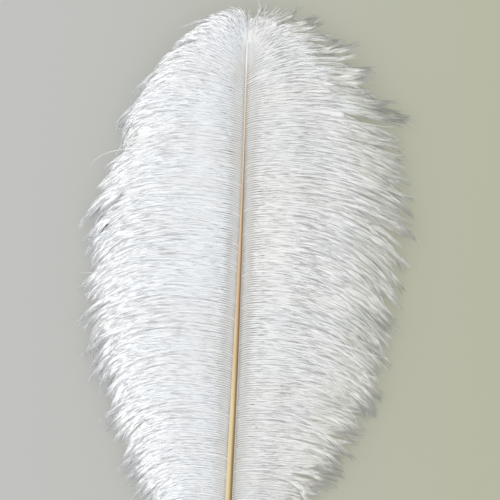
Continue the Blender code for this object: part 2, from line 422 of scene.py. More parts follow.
def barb_lines(side, u, reach, sway, clearance=EDGE_HEIGHT, lean=0.0, curl=0.0):
    """Lines of barbs, an array of barbs by steps by x, y and z.

    The heading at share t of the length is the outward heading, plus a root term that
    dies away within a few millimetres, plus the bend times t to a power, plus the sway
    times t squared, the barb's own lean times t and its curl over the last part. The
    place in plan is the running sum of steps along the heading. The height is the
    shaft's side, plus a shoulder of s (1 - s), less a droop of s to a power, where s is
    t times the barb's reach, so that short and long barbs lie in one surface. Towards the
    shaft's tip the headings turn to straight ahead and the root term and sway die away.
    """
    t = shares_along()
    reach, sway, clearance, lean, curl = (
        np.broadcast_to(v, u.shape)[:, None] for v in (reach, sway, clearance, lean, curl)
    )
    u = u[:, None]
    along = BARE_QUILL + np.clip(u, 0, 1) * VANE_LENGTH
    start = shaft_at(along[:, 0])
    length = barb_length(side, np.clip(u, 0, 1)) * reach
    head = np.clip((u - HEAD_FROM) / (1 - HEAD_FROM), 0, 1)
    out = OUTWARD_HEADING + (np.pi / 2 - OUTWARD_HEADING) * head**HEAD_POWER
    end = end_heading(side, u)
    end = end + (np.pi / 2 - end) * head**HEAD_END_POWER
    root = ROOT_HEADING * (1 - head) * np.exp(-t / ROOT_SHARE)
    heading = out + root + (end - out) * t ** BEND_POWER[side] + sway * (1 - head) * t**2
    heading = heading + lean * t + curl * smooth(CURL_FROM, 1.0, t) ** 2
    step = length / STEPS
    across = np.cumsum(np.cos(heading), axis=1) - np.cos(heading[:, :1])
    onward = np.cumsum(np.sin(heading), axis=1) - np.sin(heading[:, :1])
    x = start[:, :1] + side * (ROOT_INSET * shaft_radius(along) + step * across)
    y = start[:, 1:2] + step * onward
    top = start[:, 2:3] + ROOT_RISE * shaft_radius(along)
    s = np.minimum(t * reach, 1)
    full = length / reach
    z = top + SHOULDER * full * s * (1 - s) - (top - clearance) * s**DROOP_POWER
    return np.stack(np.broadcast_arrays(x, y, z), axis=-1)


def lock_borders(side):
    """Where the locks meet along the shaft, as in the feather's solid.

    They are even steps, each moved by a chance share, of a length that is the vane's edge
    plus half the shaft.
    """
    u = np.linspace(0, 1, BORDER_POINTS)
    edge = barb_lines(side, u, 1.0, 0.0)[:, int(EDGE_SHARE * STEPS)]
    spans = np.linalg.norm(np.diff(edge, axis=0), axis=1) + 0.5 * SHAFT_LENGTH / len(u)
    along = np.concatenate([[0], np.cumsum(spans)])
    numbers = np.arange(LOCKS + 1)
    places = numbers + BORDER_VARIES * varied(numbers, side)
    places[0], places[-1] = 0, LOCKS
    return np.interp(places / LOCKS * along[-1], along, u)


def strand_numbers(count):
    """Which strand each barb is in: runs of a few neighbours, of varying number."""
    sizes = rng.integers(*STRAND_BARBS, count)
    return np.repeat(np.arange(count), sizes)[:count]


def waves(rows, lengths, wavelengths):
    """Two sines of chance phase and wavelength along each row, over its length."""
    t = shares_along() * lengths[:, None]
    total = 0
    for weight in WAVE_WEIGHTS:
        wavelength = rng.uniform(*wavelengths, (rows, 1))
        phase = rng.uniform(0, 2 * np.pi, (rows, 1))
        total = total + weight * np.sin(2 * np.pi * t / wavelength + phase)
    return total


def at_head(u):
    """A smooth step from 0 to 1 where the vane turns into its head."""
    return smooth(*HEAD_ZONE, u)


def head_clearance(u):
    """How much higher the barbs' points lie towards the shaft's tip, in a smooth step."""
    return HEAD_CLEARANCE * smooth(HEAD_ZONE[0], 1.0, u)


def tip_heights(u):
    """Chance heights for barbs' points over the surface, raised towards the head."""
    return rng.uniform(*TIP_CLEARANCE, len(u)) + head_clearance(u)


def vane_lines(side):
    """Every upper barb's line on one side, its u, and its share of wide barbules.

    Barbs stand evenly along the shaft, with some more by chance at the crown. A barb's own
    line is pulled to its strand's by a smooth step of the length, and the strand's line a
    little to its lock's, so that they part evenly at the root and gather at the end.
    Chance waves, sideways and in height, grow with the length to a power. A few loose
    barbs keep to themselves, lie higher and lean across their neighbours. Barbs curl by
    chance, most at the right of the head, and each side has its limit. At the head the
    reach is less by a share of a smooth step, and the crown's barbs lean apart.
    """
    count = int(VANE_LENGTH / BARB_PITCH)
    u = (np.arange(count) + 0.5) / count
    u = np.sort(np.concatenate([u, rng.uniform(CROWN_FROM, 1.0, CROWN_BARBS)]))
    count = len(u)
    strand = strand_numbers(count)
    strand_u = np.bincount(strand, u) / np.bincount(strand)
    strands = len(strand_u)
    borders = lock_borders(side)
    lock = np.clip(np.searchsorted(borders, strand_u) - 1, 0, LOCKS - 1)
    lock_u = (borders[lock] + borders[lock + 1]) / 2
    lock_reach = 1 + LENGTH_VARIES * varied(lock, 3 * side)
    lock_sway = SWAY * varied(lock, 5 * side)

    grows = shares_along()
    t = grows[..., None]
    curls = smooth(*HEAD_CURL_ZONE, strand_u) if side == RIGHT else 0 * strand_u
    strand_curl = rng.normal(0, CURL, strands)
    strand_curl = strand_curl + HEAD_CURL * curls * rng.uniform(*HEAD_CURL_RANGE, strands)
    lock_lines = barb_lines(side, lock_u, lock_reach, lock_sway, TIP_CLEARANCE[0])
    strand_reach = lock_reach * rng.uniform(*REACH_OF_STRAND, strands)
    strand_lean = rng.normal(0, STRAND_LEAN, strands)
    strand_top = tip_heights(strand_u)
    strand_lines = barb_lines(
        side, strand_u, strand_reach, lock_sway, strand_top, strand_lean, strand_curl
    )
    strand_lines += LOCK_PULL * smooth(LOCK_PULL_FROM, 1, t) * (lock_lines - strand_lines)
    lengths = barb_length(side, strand_u)
    strand_shift = np.zeros_like(strand_lines)
    for axis, height, power in zip((1, 2), STRAND_WAVE, STRAND_WAVE_POWER):
        wave = waves(strands, lengths, STRAND_WAVELENGTH)
        strand_shift[:, :, axis] = height * grows**power * wave

    loose = (rng.random(count) < LOOSE_SHARE).astype(float)
    reach = strand_reach[strand] * rng.uniform(*REACH_IN_STRAND, count)
    reach = reach * (1 - HEAD_SHORTER[side] * at_head(u))
    spreading = BARB_LEAN + LOOSE_LEAN * loose + HEAD_LEAN * smooth(HEAD_LEAN_FROM, 1.0, u)
    lean = strand_lean[strand] + rng.normal(0, 1, count) * spreading
    curl = strand_curl[strand] + rng.normal(0, 1, count) * (BARB_CURL + LOOSE_CURL * loose)
    curl = np.minimum(curl, CURL_AT_MOST[side])
    lines = barb_lines(side, u, reach, lock_sway[strand], strand_top[strand], lean, curl)
    pull = STRAND_PULL * (1 - LOOSE_FREEDOM * loose)[:, None, None]
    lines += pull * smooth(STRAND_PULL_FROM, 1.0, t) * (strand_lines[strand] - lines)
    lines += strand_shift[strand]
    lengths = barb_length(side, u)
    for axis, height, power in zip((1, 2), BARB_WAVE, BARB_WAVE_POWER):
        lines[:, :, axis] += height * grows**power * waves(count, lengths, BARB_WAVELENGTH)
    lines[:, :, 2] += LOOSE_LIFT * loose[:, None] * smooth(*LOOSE_LIFT_ZONE, grows)
    return lines, u, np.full(count, WIDE_SHARE)


def under_lines(side):
    """The lower barbs of one side: the same lines, each by itself, sunk by a chance depth.

    The depth is greatest at the root, which hides below the web, and eases off in a
    smooth step and then evenly towards the point. All their barbules are wide ones.
    """
    count = int(VANE_LENGTH / UNDER_PITCH)
    u = (np.arange(count) + 0.5) / count
    reach = rng.uniform(*UNDER_REACH, count) * (1 - HEAD_SHORTER[side] * at_head(u))
    lean = rng.normal(0, UNDER_LEAN, count)
    curl = rng.normal(0, CURL, count)
    lines = barb_lines(side, u, reach, 0.0, UNDER_TOP * tip_heights(u), lean, curl)
    t = shares_along()
    depth = rng.uniform(*UNDER_DEPTH, (count, 1))
    depth = depth + UNDER_ROOT_DEPTH * (1 - smooth(0, UNDER_ROOT_ZONE, t))
    lines[:, :, 2] -= depth * (1 - UNDER_EASE * t)
    return lines, u, np.ones(count)


def stray_lines(side):
    """Single barbs that lie over the rest: each leans its own way, with a longer reach.

    Smooth steps sink their roots and lift them further out, and a chance wave sideways
    grows evenly with the length.
    """
    u = np.sort(rng.uniform(*STRAY_PLACES, STRAYS))
    reach = rng.uniform(*STRAY_REACH, STRAYS)
    lean = rng.normal(0, STRAY_LEAN, STRAYS)
    curl = rng.normal(0, STRAY_CURL, STRAYS)
    lines = barb_lines(side, u, reach, 0.0, tip_heights(u), lean, curl)
    t = shares_along()
    lines[:, :, 2] += rng.uniform(*STRAY_LIFT, (STRAYS, 1)) * smooth(*STRAY_LIFT_ZONE, t)
    lines[:, :, 2] -= STRAY_ROOT_DEPTH * (1 - smooth(0.0, STRAY_ROOT_ZONE, t))
    lines[:, :, 1] += STRAY_WAVE * t * waves(STRAYS, barb_length(side, u), STRAY_WAVELENGTH)
    return lines


def barb_frames(lines):
    """Along, up and sideways directions at each point of the lines.

    Up is the vertical less its part along the barb, and sideways is their cross product.
    """
    along = unit(np.gradient(lines, axis=1))
    up = unit(np.array([0.0, 0.0, 1.0]) - along[..., 2:3] * along)
    return along, up, np.cross(along, up)


# Meshes


def above_floor(points):
    """Heights under the softness s become s exp(z / s - 1), which never reaches the floor."""
    z = points[..., 2]
    s = FLOOR_SOFTNESS
    points[..., 2] = np.where(z < s, s * np.exp(np.minimum(z, s) / s - 1), z)
    return points


def ring_faces(rings, around):
    """Two triangles between each pair of neighbours on every ring and on the next ring."""
    here = around * np.arange(rings - 1)[:, None] + np.arange(around)[None, :]
    beside = around * np.arange(rings - 1)[:, None] + (np.arange(around)[None, :] + 1) % around
    first = np.stack([here, beside, here + around], axis=-1).reshape(-1, 3)
    second = np.stack([beside, beside + around, here + around], axis=-1).reshape(-1, 3)
    return [first, second]


def rami(lines, frames, thickness=1.0):
    """Three-sided tapering tubes along the barbs' lines, flat side up, closed at both ends.

    Rows stand closer near the root, where the barb bends: row k's share is k / rows to a
    power. The radius falls as a power of one less the share, and is thicker at the root.
    """
    _, up, sideways = frames
    count = len(lines)
    rows = np.rint(STEPS * np.linspace(0, 1, RAMUS_ROWS) ** RAMUS_ROW_POWER).astype(int)
    rows = np.unique(rows)
    share = rows / STEPS
    left = 1 - share
    radius = thickness * RAMUS_RADIUS * left**RAMUS_TAPER_POWER
    radius = radius * (1 + ROOT_THICKENING * left**ROOT_THICKENING_POWER)
    angles = -np.pi / 2 + np.arange(3) * 2 * np.pi / 3
    centre = lines[:, rows][:, :-1, None, :]
    ring = (
        np.cos(angles)[None, None, :, None] * sideways[:, rows][:, :-1, None, :]
        + np.sin(angles)[None, None, :, None] * up[:, rows][:, :-1, None, :]
    )
    tubes = centre + radius[None, :-1, None, None] * ring
    rings = len(rows) - 1
    points = np.concatenate([tubes.reshape(count, rings * 3, 3), lines[:, -1:]], axis=1)

    last = 3 * (rings - 1) + np.arange(3)
    after = 3 * (rings - 1) + (np.arange(3) + 1) % 3
    end = np.stack([last, np.full(3, 3 * rings), after], axis=-1)
    turned = [part[:, [0, 2, 1]] for part in ring_faces(rings, 3)]
    faces = np.concatenate([*turned, end, [[0, 1, 2]]])
    each = rings * 3 + 1
    faces = faces[None] + each * np.arange(count)[:, None, None]
    shares = np.concatenate([np.repeat(share[:-1], 3), [1.0]])
    return points.reshape(-1, 3), faces.reshape(-1, 3), np.tile(shares, count), each


def web_mesh(name, side, shift):
    """The web of down: a thin closed sheet just under the barbs, with a toothed edge.

    Column k follows the barb's line at u = k / (2 teeth), lowered by a depth that turns
    from the shaft's to the outer one in a smooth step, and by the edge's depth times the
    share to a power. Even columns end at the least reach and odd ones at a chance reach,
    which makes the teeth; both are less at the head. Row r is at the share r times the
    column's reach. A column's rows run out along the top, to one point, and back along
    the underside. The map's share is raised at the head, which keeps the painted shade of
    the root tone off the down there.
    """
    columns = 2 * WEB_TEETH + 1
    u = np.linspace(0, 1, columns)
    least, most = WEB_REACH[side]
    odd = np.arange(columns) % 2
    reach = least + (most - least) * rng.uniform(*WEB_TOOTH, columns) * odd
    reach = reach * (1 - WEB_HEAD_SHORTER * at_head(u))
    lines = barb_lines(side, u, 1.0, 0.0, sum(TIP_CLEARANCE) / 2 + head_clearance(u))
    share = np.linspace(0, 1, WEB_ROWS + 1)[None, :] * reach[:, None]
    barb = np.repeat(np.arange(columns), WEB_ROWS + 1)
    top = at_share(lines, barb, share.ravel()).reshape(columns, WEB_ROWS + 1, 3)
    eased = smooth(0.0, WEB_ROOT_ZONE, share)
    top[:, :, 2] -= WEB_DEPTH[0] + (WEB_DEPTH[1] - WEB_DEPTH[0]) * eased
    top[:, :, 2] -= WEB_EDGE_DEPTH * share**WEB_EDGE_POWER
    at_tip = smooth(WEB_OVERLAP_FROM, 1.0, u)[:, None]
    top[:, :, 0] -= side * WEB_OVERLAP * at_tip
    top[:, :, 2] -= (side == RIGHT) * WEB_STEP * at_tip
    under = top[:, -2::-1].copy()
    under[:, :, 2] -= WEB_THICKNESS
    ring = np.concatenate([top, under], axis=1)
    ring_share = np.concatenate([share, share[:, -2::-1]], axis=1)
    around = ring.shape[1]
    low = np.arange(1, around - 1)
    low = np.stack([np.zeros_like(low), low + 1, low], axis=-1)
    high = low[:, ::-1] + (columns - 1) * around
    faces = np.concatenate([*ring_faces(columns, around), low, high])
    if side == RIGHT:
        faces = faces[:, ::-1]
    head_tone = WEB_HEAD_TONE * smooth(*WEB_HEAD_TONE_ZONE, u)[:, None]
    tone_share = np.maximum(ring_share, head_tone)
    pairs = np.stack([tone_share.ravel(), np.repeat(u, around)], axis=1)
    return make_mesh(name, above_floor(ring.reshape(-1, 3) + shift), faces, pairs)


def at_share(values, barb, share):
    """Values on the barbs' lines at shares of their length, in line between steps."""
    place = share * STEPS
    low = np.clip(place.astype(int), 0, STEPS - 1)
    part = (place - low)[:, None]
    return values[barb, low] * (1 - part) + values[barb, low + 1] * part


def barbules(lines, frames, lengths, wide_share, per_metre):
    """Long slivers that leave each barb all round and lie along it.

    A sliver is a closed tetrahedron of a root on the barb, a left and a right corner half
    way, and a tip. Its distance from the barb's line is the spread times its length at
    the tip, and a share of that half way. It turns about the barb by even golden steps.
    Close to the shaft the slivers are short and hang under the barb, so that the barbs
    show. Towards the barb's point they are thinner, shorter and more spread by the share
    to a power. A place p in the row of one barb becomes p (1 - a + a p). No sliver is
    longer than its limit's share of the barb. Wide ones stand out to the sides.
    """
    along, up, sideways = frames
    counts = np.maximum(1, np.rint(per_metre * lengths)).astype(int)
    barb = np.repeat(np.arange(len(lines)), counts)
    order = np.arange(len(barb)) - np.repeat(np.cumsum(counts) - counts, counts)
    chance = rng.random((8, len(barb)))
    own = lengths[barb]
    bare = np.minimum(BARE_ROOT / own, BARE_ROOT_LIMIT)
    full_at = np.minimum(BARBULE_FULL_AT, FULL_AT_LIMIT * own)
    in_row = (order + chance[0]) / counts[barb]
    share = bare + (LAST_PLACE - bare) * in_row * (1 - THINNING + THINNING * in_row)
    grown = BARBULE_AT_ROOT + (1 - BARBULE_AT_ROOT) * smooth(0.0, full_at, share * own)
    at_point = share**POINT_POWER
    wide = chance[6] < wide_share[barb]
    size = BARBULE * varies(BARBULE_VARIES, chance[1]) * np.maximum(grown, WIDE_SIZE * wide)
    size = size * (1 - POINT_SHORTENING * at_point)
    limit = BARBULE_LIMIT * varies(BARBULE_LIMIT_VARIES, chance[1]) * own
    size = np.minimum(size, limit)
    span = size / own
    turn = BARBULE_TURN * (2 * ((TURN_STEP * order + TURN_VARIES * chance[2]) % 1) - 1)
    spread = size * BARBULE_SPREAD * varies(BARBULE_SPREAD_VARIES, chance[3])
    spread = spread * (1 + POINT_FANNING * at_point)
    reach = WIDE_SPREAD * varies(WIDE_SPREAD_VARIES, chance[3])
    reach = reach * np.maximum(grown, WIDE_SPREAD_AT_ROOT)
    spread = np.where(wide, reach, spread)
    sidewards = np.pi / 2 + WIDE_TURN_VARIES * (chance[7] - 0.5)
    turn = np.where(wide, np.sign(turn) * sidewards, turn)

    def place(at, away):
        """The point at a share of the barb and at a distance from it, and the way it faces."""
        centre = at_share(lines, barb, at)
        u_dir = at_share(up, barb, np.minimum(at, 1))
        s_dir = at_share(sideways, barb, np.minimum(at, 1))
        radial = np.cos(turn)[:, None] * u_dir * BARBULE_FLATNESS + np.sin(turn)[:, None] * s_dir
        roll = BARBULE_ROLL * turn + ROLL_VARIES * (chance[5] - 0.5)
        facing = np.cos(roll)[:, None] * u_dir + np.sin(roll)[:, None] * s_dir
        sink = ROOT_SINK * (1 - smooth(0, ROOT_ZONE, at * own))
        sink = sink + WIDE_SINK * wide * varies(WIDE_SINK_VARIES, chance[5])
        sink = sink * np.minimum(1, away / SINK_FULL_AT)
        return centre + away[:, None] * radial - sink[:, None] * u_dir, facing

    half_way = share + 0.5 * span
    root, _ = place(share, np.full(len(barb), RAMUS_RADIUS * ROOT_INSIDE))
    middle, facing = place(half_way, HALF_WAY_SPREAD * spread)
    middle = middle + BARBULE_ARCH * facing
    tip, _ = place(share + span, spread)
    t_dir = at_share(along, barb, np.minimum(half_way, 1))
    width = BARBULE_WIDTH * varies(BARBULE_WIDTH_VARIES, chance[4])
    width = width * (1 - POINT_NARROWING * at_point)
    across = unit(np.cross(t_dir, facing)) * (0.5 * width)[:, None]
    points = np.stack([root, middle + across, middle - across, tip], axis=1)
    shape = np.array([[0, 1, 2], [3, 2, 1], [0, 3, 1], [0, 2, 3]])
    faces = shape[None] + 4 * np.arange(len(barb))[:, None, None]
    shares = share[:, None] + span[:, None] * np.array([[0, 0.5, 0.5, 1]])
    return points.reshape(-1, 3), faces.reshape(-1, 3), shares.ravel(), np.repeat(barb, 4)


def make_mesh(name, points, faces, pairs):
    """A mesh of triangles with a UV map that holds one pair of numbers for each point."""
    mesh = bpy.data.meshes.new(name)
    mesh.vertices.add(len(points))
    mesh.vertices.foreach_set("co", points.astype(np.float32).ravel())
    mesh.loops.add(faces.size)
    mesh.loops.foreach_set("vertex_index", faces.astype(np.int32).ravel())
    mesh.polygons.add(len(faces))
    mesh.polygons.foreach_set("loop_start", np.arange(0, faces.size, 3, dtype=np.int32))
    layer = mesh.uv_layers.new(name="along")
    layer.data.foreach_set("uv", pairs[faces.ravel()].astype(np.float32).ravel())
    mesh.update(calc_edges=True)
    mesh.validate()
    return mesh


def add_piece(name, mesh, finish):
    """An object at the origin that rides on the feather's body and stands for its solid."""
    piece = bpy.data.objects.new(name, mesh)
    bpy.context.scene.collection.objects.link(piece)
    piece.data.materials.append(finish)
    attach(piece, "root")
    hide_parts("feather")
    return piece


def shaft_mesh(shift):
    """A ring of radius times a groove's dip, carried along the middle line.

    The radius at angle a from the top is the shaft's radius, less a shallow groove: a
    share of the radius times exp(-(a - middle) squared / width squared). Both ends close
    in a point. The map holds the share along and one half plus half the sine of a.
    """
    rings, sides = SHAFT_RINGS, SHAFT_SIDES
    share = np.linspace(0, 1, rings)
    along = SHAFT_LENGTH * share
    centre = shaft_at(along)
    tangent, up, sideways = (part[0] for part in barb_frames(centre[None]))
    angle = 2 * np.pi * np.arange(sides) / sides
    away = (angle + np.pi) % (2 * np.pi) - np.pi
    groove = 1 - GROOVE_DEPTH * np.exp(-((away - GROOVE_AT) ** 2) / GROOVE_WIDTH**2)
    radius = shaft_radius(along)[:, None] * groove[None, :]
    cosine, sine = (value[None, :, None] for value in (np.cos(angle), np.sin(angle)))
    ring = cosine * up[:, None] + sine * sideways[:, None]
    tube = centre[:, None] + radius[..., None] * ring
    quill_end = centre[0] - QUILL_POINT * tangent[0]
    tip_end = centre[-1] + TIP_POINT * tangent[-1]
    points = np.concatenate([tube.reshape(-1, 3), np.stack([quill_end, tip_end])]) + shift
    rim = np.arange(sides)
    after = (rim + 1) % sides
    low = np.stack([after, rim, np.full(sides, rings * sides)], axis=-1)
    last = (rings - 1) * sides
    high = np.stack([last + rim, last + after, np.full(sides, rings * sides + 1)], axis=-1)
    faces = np.concatenate([*ring_faces(rings, sides), low, high])
    pairs = np.stack([np.repeat(share, sides), np.tile(0.5 + 0.5 * np.sin(angle), rings)], axis=1)
    pairs = np.concatenate([pairs, [[0, 0.5], [1, 0.5]]])
    return make_mesh("shaft", points, faces, pairs)


# Materials


def add_node(tree, kind, values=(), **settings):
    """A node with its settings, and values for its inputs by name or number."""
    made = tree.nodes.new("ShaderNode" + kind)
    for name, value in settings.items():
        setattr(made, name, value)
    for key, value in dict(values).items():
        made.inputs[key].default_value = value
    return made


def add_group(name, inputs, outputs):
    """An empty shader group with named inputs and outputs, and its two end nodes."""
    tree = bpy.data.node_groups.new(name, "ShaderNodeTree")
    for label, kind, value in inputs:
        socket = tree.interface.new_socket(label, in_out="INPUT", socket_type="NodeSocket" + kind)
        socket.default_value = value
    for label, kind in outputs:
        tree.interface.new_socket(label, in_out="OUTPUT", socket_type="NodeSocket" + kind)
    return tree, tree.nodes.new("NodeGroupInput"), tree.nodes.new("NodeGroupOutput")


def set_input(tree, socket, value):
    """Links an input to a socket, or gives it a plain value."""
    if isinstance(value, bpy.types.NodeSocket):
        tree.links.new(value, socket)
    else:
        socket.default_value = value


def blend(tree, share, first, second):
    """A colour mix of two colours or sockets by a share, and its result."""
    mix = add_node(tree, "Mix", data_type="RGBA")
    for place, value in ((0, share), (6, first), (7, second)):
        set_input(tree, mix.inputs[place], value)
    return mix.outputs[2]


def calculate(tree, operation, *values):
    """A Math node of an operation on values or sockets, and its result."""
    made = add_node(tree, "Math", operation=operation)
    for socket, value in zip(made.inputs, values):
        set_input(tree, socket, value)
    return made.outputs[0]


def vector(tree, *parts):
    """A vector of three sockets."""
    made = add_node(tree, "CombineXYZ")
    for socket, part in zip(made.inputs, parts):
        tree.links.new(part, socket)
    return made.outputs[0]


def ramp(tree, value, low, high):
    """A smooth step of a value from 0 at low to 1 at high."""
    made = add_node(tree, "MapRange", {1: low, 2: high}, interpolation_type="SMOOTHSTEP")
    tree.links.new(value, made.inputs[0])
    return made.outputs[0]


def three_tones_group():
    """A colour that goes from one tone to a second and on to a third along a share."""
    tree, given, result = add_group(
        "three_tones",
        [
            ("Share", "Float", 0.0),
            ("Start", "Color", (1, 1, 1, 1)),
            ("Middle", "Color", (1, 1, 1, 1)),
            ("End", "Color", (1, 1, 1, 1)),
            ("First Change", "Float", 0.3),
            ("Second Change", "Float", 0.7),
            ("Softness", "Float", 0.15),
        ],
        [("Colour", "Color")],
    )
    steps = []
    for name in ("First Change", "Second Change"):
        low = calculate(tree, "SUBTRACT", given.outputs[name], given.outputs["Softness"])
        high = calculate(tree, "ADD", given.outputs[name], given.outputs["Softness"])
        step = add_node(tree, "MapRange", interpolation_type="SMOOTHSTEP")
        for place, socket in enumerate((given.outputs["Share"], low, high)):
            tree.links.new(socket, step.inputs[place])
        steps.append(step.outputs[0])
    first = blend(tree, steps[0], given.outputs["Start"], given.outputs["Middle"])
    second = blend(tree, steps[1], first, given.outputs["End"])
    tree.links.new(second, result.inputs["Colour"])
    return tree


def streaks_group():
    """Fine streaks: noise over a pair of map values, stretched by a scale each way."""
    tree, given, result = add_group(
        "fine_streaks",
        [
            ("Along", "Float", 0.0),
            ("Across", "Float", 0.0),
            ("Along Scale", "Float", 10.0),
            ("Across Scale", "Float", 100.0),
            ("Shift", "Float", 0.0),
        ],
        [("Streak", "Float"), ("Height", "Float")],
    )
    x = calculate(tree, "MULTIPLY", given.outputs["Along"], given.outputs["Along Scale"])
    y = calculate(tree, "MULTIPLY", given.outputs["Across"], given.outputs["Across Scale"])
    place = vector(tree, x, y, given.outputs["Shift"])
    noise = add_node(tree, "TexNoise", {"Scale": 1.0, "Detail": 3.0, "Roughness": 0.6})
    tree.links.new(place, noise.inputs["Vector"])
    streak = ramp(tree, noise.outputs[0], 0.3, 0.7)
    tree.links.new(streak, result.inputs["Streak"])
    tree.links.new(noise.outputs[0], result.inputs["Height"])
    return tree


def patches_group():
    """Broad soft patches over the piece's own coordinates, as a mask from 0 to 1."""
    tree, given, result = add_group(
        "soft_patches",
        [("Place", "Vector", (0, 0, 0)), ("Size", "Float", 0.03), ("Stretch", "Float", 3.0)],
        [("Mask", "Float")],
    )
    parts = add_node(tree, "SeparateXYZ")
    tree.links.new(given.outputs["Place"], parts.inputs[0])
    x = calculate(tree, "DIVIDE", parts.outputs[0], given.outputs["Stretch"])
    place = vector(tree, x, parts.outputs[1], parts.outputs[2])
    scale = calculate(tree, "DIVIDE", 1.0, given.outputs["Size"])
    noise = add_node(tree, "TexNoise", {"Detail": 2.0, "Roughness": 0.5})
    tree.links.new(place, noise.inputs["Vector"])
    tree.links.new(scale, noise.inputs["Scale"])
    tree.links.new(ramp(tree, noise.outputs[0], 0.35, 0.68), result.inputs["Mask"])
    return tree


def place_group(tree, group, values, links):
    """A placed group with values for some inputs and links to others."""
    made = tree.nodes.new("ShaderNodeGroup")
    made.node_tree = group
    for name, value in values.items():
        made.inputs[name].default_value = value
    for name, socket in links.items():
        tree.links.new(socket, made.inputs[name])
    return made


def principled(name):
    """A new material with its node tree and its Principled shader."""
    made = bpy.data.materials.new(name)
    made.use_nodes = True
    return made, made.node_tree, made.node_tree.nodes["Principled BSDF"]


def map_pair(tree):
    """The two values of the piece's own map: share along, and chance or side."""
    place = add_node(tree, "UVMap", uv_map="along")
    parts = add_node(tree, "SeparateXYZ")
    tree.links.new(place.outputs[0], parts.inputs[0])
    return parts.outputs[0], parts.outputs[1]


def add_bump(tree, shader, height, depth, strength):
    """A bump of the shader's normal by a height from 0 to 1, at a depth in metres."""
    bump = add_node(tree, "Bump", {"Strength": strength, "Distance": depth})
    tree.links.new(height, bump.inputs["Height"])
    tree.links.new(bump.outputs[0], shader.inputs["Normal"])


def three_tones(tree, groups, share, tones, first_change, second_change):
    """The colour that a share has between three tones, which change at two shares."""
    values = {label: (*tone, 1) for label, tone in zip(("Start", "Middle", "End"), tones)}
    values["First Change"] = first_change
    values["Second Change"] = second_change
    values["Softness"] = TONE_SOFTNESS
    placed = place_group(tree, groups["three_tones"], values, {"Share": share})
    return placed.outputs["Colour"]


def plume_material(name, groups, tones, tint, tint_share, streak_depth, fineness=PLUME_FINENESS):
    """Matt white keratin: tones along the barb, a tint in patches, and fine streaks.

    The tones along the barb carry painted light and shade. A painted glow stands in for
    the light that a barb lets pass towards its point: an emission of the final tone that
    grows in a smooth step of the share.
    """
    made, tree, shader = principled(name)
    share, chance = map_pair(tree)
    along = three_tones(tree, groups, share, tones, first_change=0.10, second_change=0.72)
    place = add_node(tree, "TexCoord")
    patches = place_group(
        tree,
        groups["soft_patches"],
        {"Size": 0.022, "Stretch": 3.5},
        {"Place": place.outputs["Object"]},
    )
    streaks = place_group(
        tree,
        groups["fine_streaks"],
        {"Along Scale": 9.0, "Across Scale": fineness, "Shift": 0.3},
        {"Along": share, "Across": chance},
    )
    amount = calculate(tree, "MULTIPLY", patches.outputs["Mask"], tint_share)
    tinted = blend(tree, amount, along, (*tint, 1))
    shade = calculate(tree, "MULTIPLY", streaks.outputs["Streak"], streak_depth)
    final = blend(tree, shade, tinted, STREAK_TONE)
    tree.links.new(final, shader.inputs["Base Color"])
    rough = calculate(tree, "MULTIPLY_ADD", streaks.outputs["Streak"], *PLUME_ROUGHNESS)
    tree.links.new(rough, shader.inputs["Roughness"])
    # A painted glow: emission of the final tone, which grows towards the barb's point
    painted_glow_share = ramp(tree, share, low=0.10, high=1.0)
    tree.links.new(blend(tree, painted_glow_share, BLACK, final), shader.inputs["Emission Color"])
    plain = {"Specular IOR Level": 0.25, "Sheen Weight": 0.10, "Sheen Roughness": 0.5}
    for label, value in {**plain, "Emission Strength": PAINTED_GLOW}.items():
        shader.inputs[label].default_value = value
    add_bump(tree, shader, streaks.outputs["Height"], depth=0.00005, strength=0.3)
    return made


def shaft_material(groups):
    """Horn: white at the head, cream and brown below it, amber lower down, pale at the quill.

    Across the shaft, light and shade are painted: a bright left half turns to a shaded
    deep brown on the right, between pale edges of painted highlight.
    """
    made, tree, shader = principled("shaft_horn")
    share, side = map_pair(tree)
    # Painted light and shade: the horn's tones as if in light on the left and in shade on the right
    light_side_painted = three_tones(tree, groups, share, SHAFT_PAINTED_LIGHT, first_change=0.50, second_change=0.82)
    shade_side_painted = three_tones(tree, groups, share, SHAFT_PAINTED_SHADE, first_change=0.45, second_change=0.86)
    streaks = place_group(
        tree,
        groups["fine_streaks"],
        {"Along Scale": 14.0, "Across Scale": 9.0, "Shift": 1.7},
        {"Along": share, "Across": side},
    )
    height = streaks.outputs["Height"]
    # The border of the painted shade and the painted edge highlights wander with the grain
    wander = calculate(tree, "MULTIPLY_ADD", height, PAINTED_SHADE_WANDER, -PAINTED_SHADE_WANDER / 2)
    place = calculate(tree, "ADD", side, wander)
    across = ramp(tree, place, low=0.34, high=0.74)
    painted_light_and_shade = blend(tree, across, light_side_painted, shade_side_painted)
    # Pale edges at both sides of the shaft: painted highlight
    left_rim_highlight = calculate(tree, "SUBTRACT", 1.0, ramp(tree, place, low=0.06, high=0.20))
    right_rim_highlight = ramp(tree, place, low=0.84, high=0.93)
    rim_highlights = calculate(tree, "MAXIMUM", left_rim_highlight, right_rim_highlight)
    with_rim_highlights = blend(tree, rim_highlights, painted_light_and_shade, PAINTED_RIM_HIGHLIGHT)
    quill = ramp(tree, share, low=0.02, high=0.20)
    lengthwise = blend(tree, quill, QUILL_TONE, with_rim_highlights)
    grain = calculate(tree, "MULTIPLY", streaks.outputs["Streak"], GRAIN_SHARE)
    final = blend(tree, grain, lengthwise, GRAIN_TONE)
    final = blend(tree, ramp(tree, share, low=0.90, high=0.96), final, TIP_TONE)
    tree.links.new(final, shader.inputs["Base Color"])
    rough = calculate(tree, "MULTIPLY_ADD", streaks.outputs["Streak"], *SHAFT_ROUGHNESS)
    tree.links.new(rough, shader.inputs["Roughness"])
    add_bump(tree, shader, height, depth=0.00010, strength=0.5)
    return made


